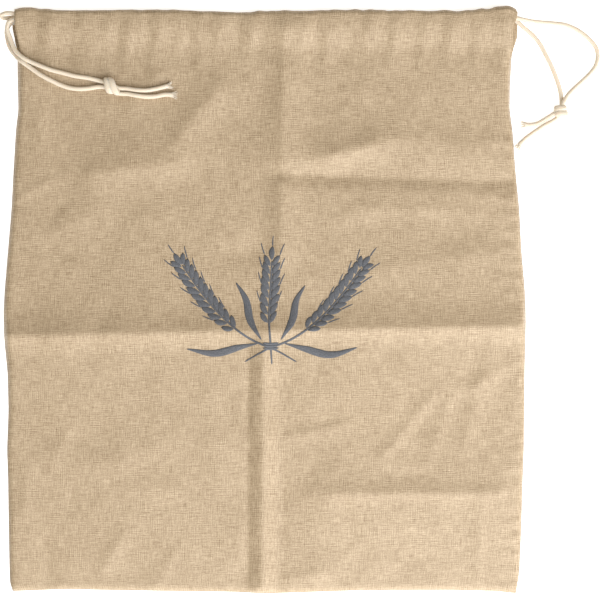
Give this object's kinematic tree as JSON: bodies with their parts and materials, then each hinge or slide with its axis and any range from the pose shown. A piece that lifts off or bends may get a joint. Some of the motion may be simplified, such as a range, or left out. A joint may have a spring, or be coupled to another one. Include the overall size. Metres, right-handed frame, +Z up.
{
  "type": "pastry storage bag",
  "caption": "Flat linen drawstring bag for pastry and bread, lying pressed on its back with knotted cotton cords at both sides of its heading.",
  "frame": {"origin": "centre of the bag's two panels across X and along Y, on the surface that the bag lies on", "axes": "+X across the bag to the right, +Y along it towards the mouth and its cords, +Z up from the surface through the pressed bag"},
  "size_m": [0.4151, 0.405, 0.0134],
  "materials": {
    "front_linen": "plain woven natural linen, matte",
    "back_linen": "plain woven natural linen, matte",
    "cotton_cord": "braided cream cotton, matte"
  },
  "bodies": {
    "root": {"front_panel": "front_linen", "back_panel": "back_linen", "left_drawstring": "cotton_cord", "right_drawstring": "cotton_cord", "left_knot": "cotton_cord", "right_knot": "cotton_cord", "left_tail_upper": "cotton_cord", "left_tail_lower": "cotton_cord", "right_tail_upper": "cotton_cord", "right_tail_lower": "cotton_cord"}
  },
  "joints": []
}
